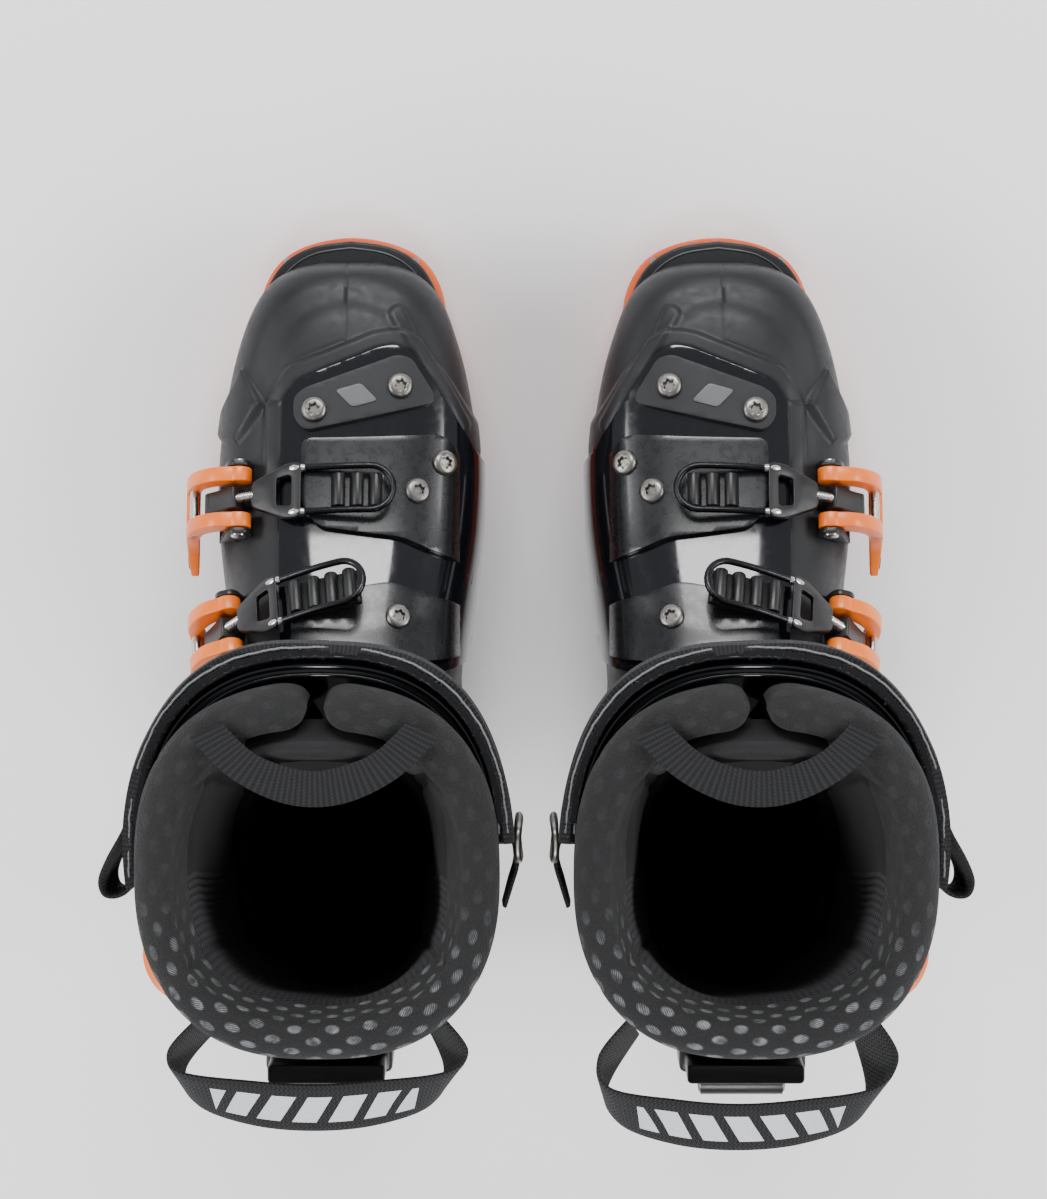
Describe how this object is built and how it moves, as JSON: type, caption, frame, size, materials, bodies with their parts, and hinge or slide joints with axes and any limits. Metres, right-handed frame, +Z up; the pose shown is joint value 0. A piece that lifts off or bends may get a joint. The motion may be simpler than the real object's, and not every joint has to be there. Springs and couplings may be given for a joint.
{
  "type": "pair of alpine touring ski boots",
  "caption": "Pair of high plastic ski boots: hinged cuffs, soft padded liners, side toggle buckles with wire bails, a rear walk lever and webbing pull loops.",
  "frame": {"origin": "middle of the pair's bounding box, on the floor under the soles", "axes": "+Y towards the toes, +Z up, +X towards the right boot, so the plane X = 0 lies between the boots"},
  "size_m": [0.2868, 0.311, 0.3308],
  "materials": {
    "matte_shell": "satin charcoal",
    "gloss_shell": "gloss black",
    "trim_plastic": "fine-grained black",
    "orange_plastic": "satin orange",
    "sole_rubber": "matt orange",
    "steel": "satin",
    "black_wire": "black plated",
    "liner_cloth": "dark woven cloth over foam",
    "webbing": "black woven webbing"
  },
  "bodies": {
    "feet": {"right_lower_shell": "matte_shell", "right_toe_sole": "sole_rubber", "right_heel_sole": "sole_rubber", "right_toe_insert": "steel", "right_heel_insert": "steel", "right_instep_flap": "gloss_shell", "right_badge_plate": "trim_plastic", "right_liner_foot": "liner_cloth", "right_footbed": "liner_cloth", "right_toe_buckle_base": "trim_plastic", "right_toe_rack": "trim_plastic", "right_ankle_buckle_base": "trim_plastic", "right_ankle_rack": "trim_plastic", "right_pivot_rivet_lateral": "steel", "right_pivot_rivet_medial": "steel", "left_lower_shell": "matte_shell", "left_toe_sole": "sole_rubber", "left_heel_sole": "sole_rubber", "left_toe_insert": "steel", "left_heel_insert": "steel", "left_instep_flap": "gloss_shell", "left_badge_plate": "trim_plastic", "left_liner_foot": "liner_cloth", "left_footbed": "liner_cloth", "left_toe_buckle_base": "trim_plastic", "left_toe_rack": "trim_plastic", "left_ankle_buckle_base": "trim_plastic", "left_ankle_rack": "trim_plastic", "left_pivot_rivet_lateral": "steel", "left_pivot_rivet_medial": "steel"},
    "right_upper": {"right_cuff": "gloss_shell", "right_cuff_buckle_base": "trim_plastic", "right_cuff_rack": "trim_plastic", "right_liner_sleeve": "liner_cloth", "right_liner_tongue": "liner_cloth", "right_power_strap": "webbing", "right_rear_pull_loop": "webbing", "right_front_pull_loop": "webbing"},
    "right_walk_arm": {"right_walk_lever": "trim_plastic"},
    "right_toe_arm": {"right_toe_lever": "orange_plastic"},
    "right_toe_loop": {"right_toe_bail": "black_wire"},
    "right_ankle_arm": {"right_ankle_lever": "orange_plastic"},
    "right_ankle_loop": {"right_ankle_bail": "black_wire"},
    "right_cuff_arm": {"right_cuff_lever": "orange_plastic"},
    "right_cuff_loop": {"right_cuff_bail": "black_wire"},
    "left_upper": {"left_cuff": "gloss_shell", "left_cuff_buckle_base": "trim_plastic", "left_cuff_rack": "trim_plastic", "left_liner_sleeve": "liner_cloth", "left_liner_tongue": "liner_cloth", "left_power_strap": "webbing", "left_rear_pull_loop": "webbing", "left_front_pull_loop": "webbing"},
    "left_walk_arm": {"left_walk_lever": "trim_plastic"},
    "left_toe_arm": {"left_toe_lever": "orange_plastic"},
    "left_toe_loop": {"left_toe_bail": "black_wire"},
    "left_ankle_arm": {"left_ankle_lever": "orange_plastic"},
    "left_ankle_loop": {"left_ankle_bail": "black_wire"},
    "left_cuff_arm": {"left_cuff_lever": "orange_plastic"},
    "left_cuff_loop": {"left_cuff_bail": "black_wire"}
  },
  "joints": [
    {"name": "right_ankle_hinge", "type": "hinge", "parent": "feet", "child": "right_upper", "pos_m": [0.075, -0.0715, 0.093], "axis": [-1, 0, 0], "range_deg": [-25, 30]},
    {"name": "right_walk_lever_hinge", "type": "hinge", "parent": "right_upper", "child": "right_walk_arm", "pos_m": [0.075, -0.1465, 0.232], "axis": [-1, 0, 0], "range_deg": [0, 60]},
    {"name": "right_toe_lever_hinge", "type": "hinge", "parent": "feet", "child": "right_toe_arm", "pos_m": [0.118, 0.0535, 0.078], "axis": [0, -0.9336, 0.3584], "range_deg": [0, 100]},
    {"name": "right_toe_bail_hinge", "type": "hinge", "parent": "right_toe_arm", "child": "right_toe_loop", "pos_m": [0.129, 0.04992, 0.06866], "axis": [0, -0.9336, 0.3584], "range_deg": [-112, 0]},
    {"name": "right_ankle_lever_hinge", "type": "hinge", "parent": "feet", "child": "right_ankle_arm", "pos_m": [0.121, 0.0035, 0.094], "axis": [-0.0867, -0.8245, 0.5592], "range_deg": [0, 100]},
    {"name": "right_ankle_bail_hinge", "type": "hinge", "parent": "right_ankle_arm", "child": "right_ankle_loop", "pos_m": [0.12849, -0.00424, 0.08375], "axis": [-0.0867, -0.8245, 0.5592], "range_deg": [-112, 0]},
    {"name": "right_cuff_lever_hinge", "type": "hinge", "parent": "right_upper", "child": "right_cuff_arm", "pos_m": [0.137, -0.0915, 0.215], "axis": [0, 0, 1], "range_deg": [0, 100]},
    {"name": "right_cuff_bail_hinge", "type": "hinge", "parent": "right_cuff_arm", "child": "right_cuff_loop", "pos_m": [0.13185, -0.10544, 0.215], "axis": [0, 0, 1], "range_deg": [-112, 0]},
    {"name": "left_ankle_hinge", "type": "hinge", "parent": "feet", "child": "left_upper", "pos_m": [-0.075, -0.0715, 0.093], "axis": [-1, 0, 0], "range_deg": [-25, 30]},
    {"name": "left_walk_lever_hinge", "type": "hinge", "parent": "left_upper", "child": "left_walk_arm", "pos_m": [-0.075, -0.1465, 0.232], "axis": [-1, 0, 0], "range_deg": [0, 60]},
    {"name": "left_toe_lever_hinge", "type": "hinge", "parent": "feet", "child": "left_toe_arm", "pos_m": [-0.118, 0.0535, 0.078], "axis": [0, 0.9336, -0.3584], "range_deg": [0, 100]},
    {"name": "left_toe_bail_hinge", "type": "hinge", "parent": "left_toe_arm", "child": "left_toe_loop", "pos_m": [-0.129, 0.04992, 0.06866], "axis": [0, 0.9336, -0.3584], "range_deg": [-112, 0]},
    {"name": "left_ankle_lever_hinge", "type": "hinge", "parent": "feet", "child": "left_ankle_arm", "pos_m": [-0.121, 0.0035, 0.094], "axis": [-0.0867, 0.8245, -0.5592], "range_deg": [0, 100]},
    {"name": "left_ankle_bail_hinge", "type": "hinge", "parent": "left_ankle_arm", "child": "left_ankle_loop", "pos_m": [-0.12849, -0.00424, 0.08375], "axis": [-0.0867, 0.8245, -0.5592], "range_deg": [-112, 0]},
    {"name": "left_cuff_lever_hinge", "type": "hinge", "parent": "left_upper", "child": "left_cuff_arm", "pos_m": [-0.137, -0.0915, 0.215], "axis": [0, 0, -1], "range_deg": [0, 100]},
    {"name": "left_cuff_bail_hinge", "type": "hinge", "parent": "left_cuff_arm", "child": "left_cuff_loop", "pos_m": [-0.13185, -0.10544, 0.215], "axis": [0, 0, -1], "range_deg": [-112, 0]}
  ],
  "couplings": [
    {"joint": "right_toe_bail_hinge", "follows": "right_toe_lever_hinge", "ratio": -1.1},
    {"joint": "right_ankle_bail_hinge", "follows": "right_ankle_lever_hinge", "ratio": -1.1},
    {"joint": "right_cuff_bail_hinge", "follows": "right_cuff_lever_hinge", "ratio": -1.1},
    {"joint": "left_toe_bail_hinge", "follows": "left_toe_lever_hinge", "ratio": -1.1},
    {"joint": "left_ankle_bail_hinge", "follows": "left_ankle_lever_hinge", "ratio": -1.1},
    {"joint": "left_cuff_bail_hinge", "follows": "left_cuff_lever_hinge", "ratio": -1.1}
  ]
}
